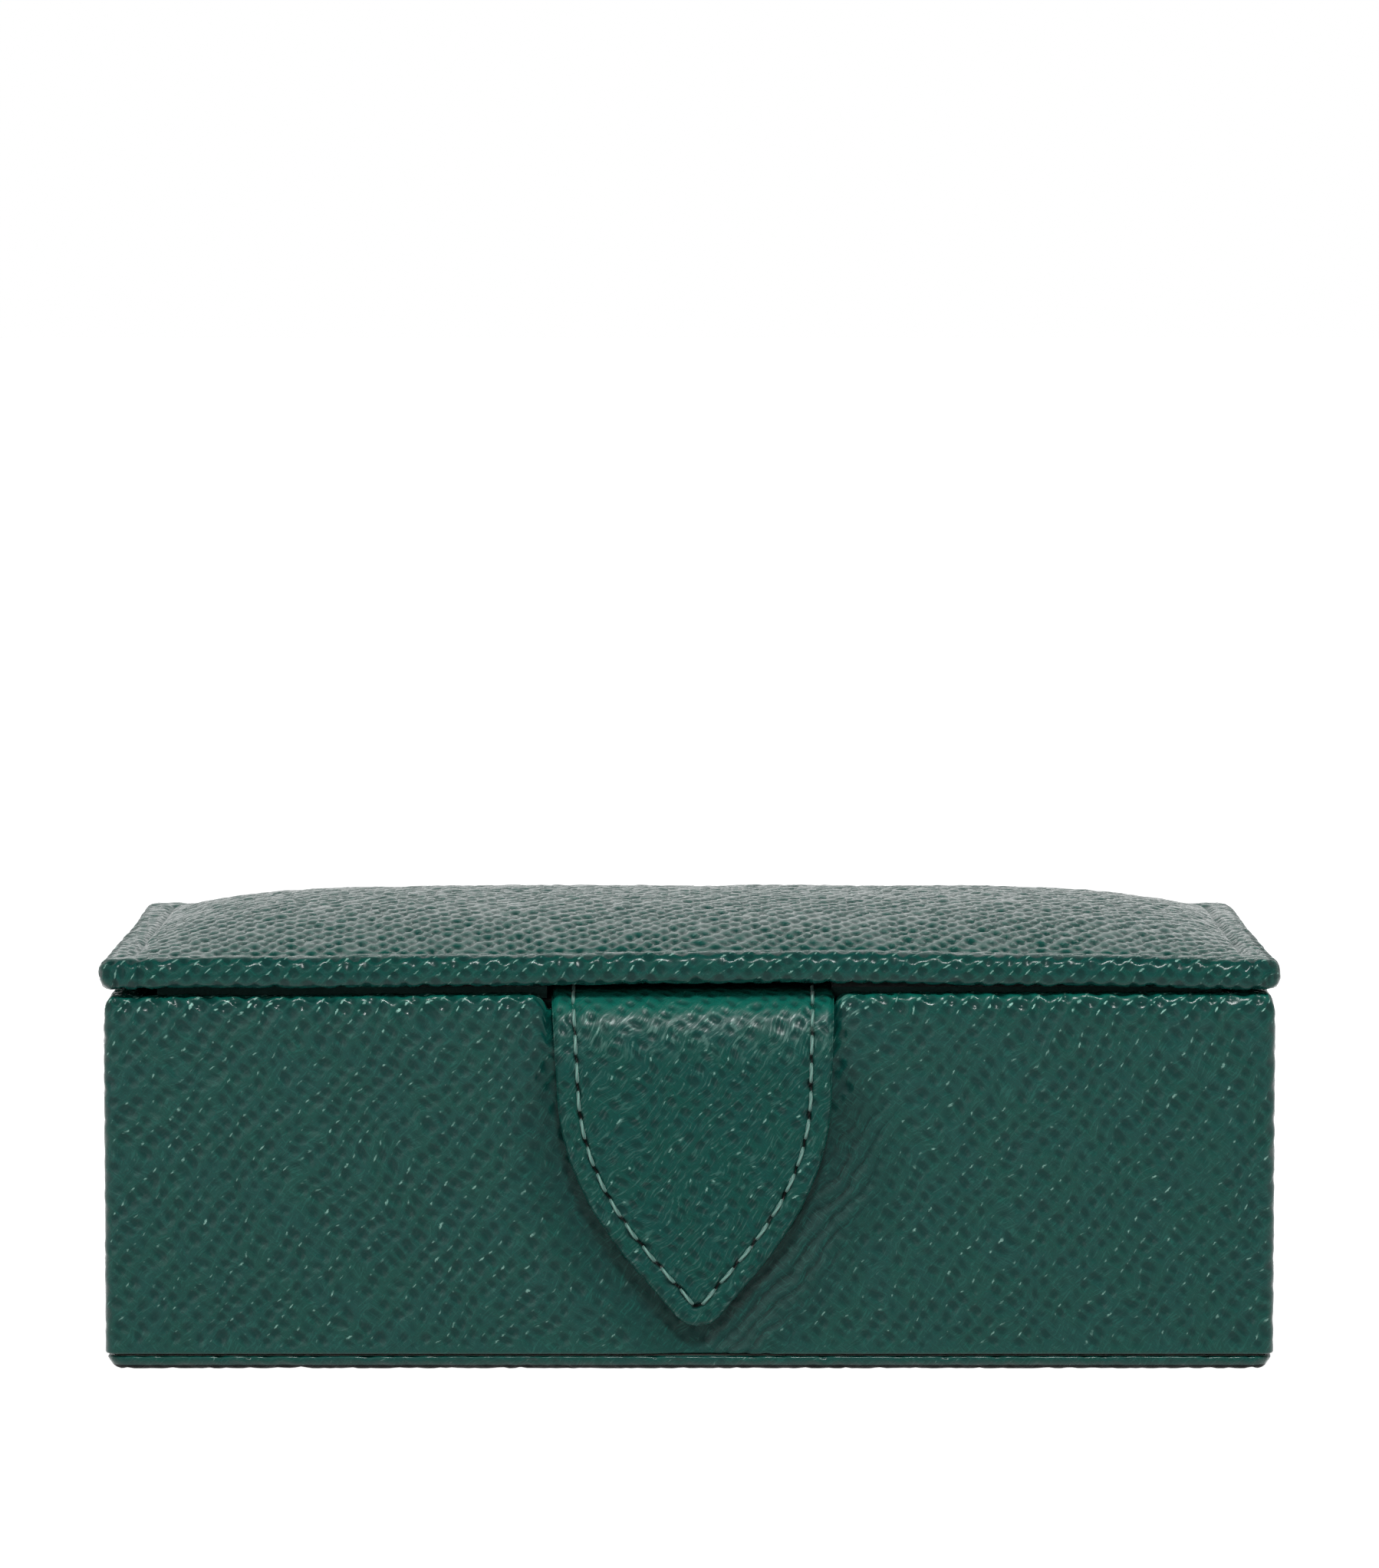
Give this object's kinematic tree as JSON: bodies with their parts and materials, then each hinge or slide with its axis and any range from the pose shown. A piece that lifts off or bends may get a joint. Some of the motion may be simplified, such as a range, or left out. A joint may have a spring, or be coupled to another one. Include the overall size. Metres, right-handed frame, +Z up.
{
  "type": "cufflink box",
  "caption": "Leather-covered cufflink box with a padded hinged lid, a stitched pointed tab over a notched front, and a suede interior split into small compartments.",
  "frame": {"origin": "the centre of the bounding box's footprint, on the plane the closed box rests on", "axes": "+X along the width, to the right seen from the front; +Y from the front with the tab towards the hinge; +Z up"},
  "size_m": [0.122, 0.0634, 0.0466],
  "materials": {
    "leather": "dark green cross-grained calf, satin",
    "suede": "dark green suede lining, matt",
    "board": "grey binder's board, bare",
    "foam": "cream foam sheet, matt",
    "magnet": "plated steel disc",
    "thread": "waxed green thread, satin"
  },
  "bodies": {
    "base": {"base_front_board": "board", "base_back_board": "board", "base_left_board": "board", "base_right_board": "board", "base_bottom_board": "board", "base_leather_wrap": "leather", "bottom_plate_leather": "leather", "bottom_plate_board": "board", "lining_front": "suede", "lining_back": "suede", "lining_left": "suede", "lining_right": "suede", "floor_pad": "suede", "divider_long": "suede", "divider_short_1": "suede", "divider_short_2": "suede", "divider_short_3": "suede", "front_magnet": "magnet", "hinge_base_leaf": "leather"},
    "lid": {"lid_leather_cover": "leather", "lid_padding": "foam", "lid_board": "board", "lid_liner_card": "board", "lid_suede_pad": "suede", "tab_tail": "leather", "hinge_lid_leaf": "leather"},
    "tab": {"tab_leather": "leather", "tab_stiffener": "board", "tab_magnet": "magnet", "tab_lining": "leather", "tab_stitching": "thread"}
  },
  "joints": [
    {"name": "lid_hinge", "type": "hinge", "parent": "base", "child": "lid", "pos_m": [0, 0.03173, 0.03935], "axis": [-1, 0, 0], "range_deg": [0, 105]},
    {"name": "tab_flex", "type": "hinge", "parent": "lid", "child": "tab", "pos_m": [0, -0.03112, 0.03875], "axis": [-1, 0, 0], "range_deg": [0, 80]}
  ]
}
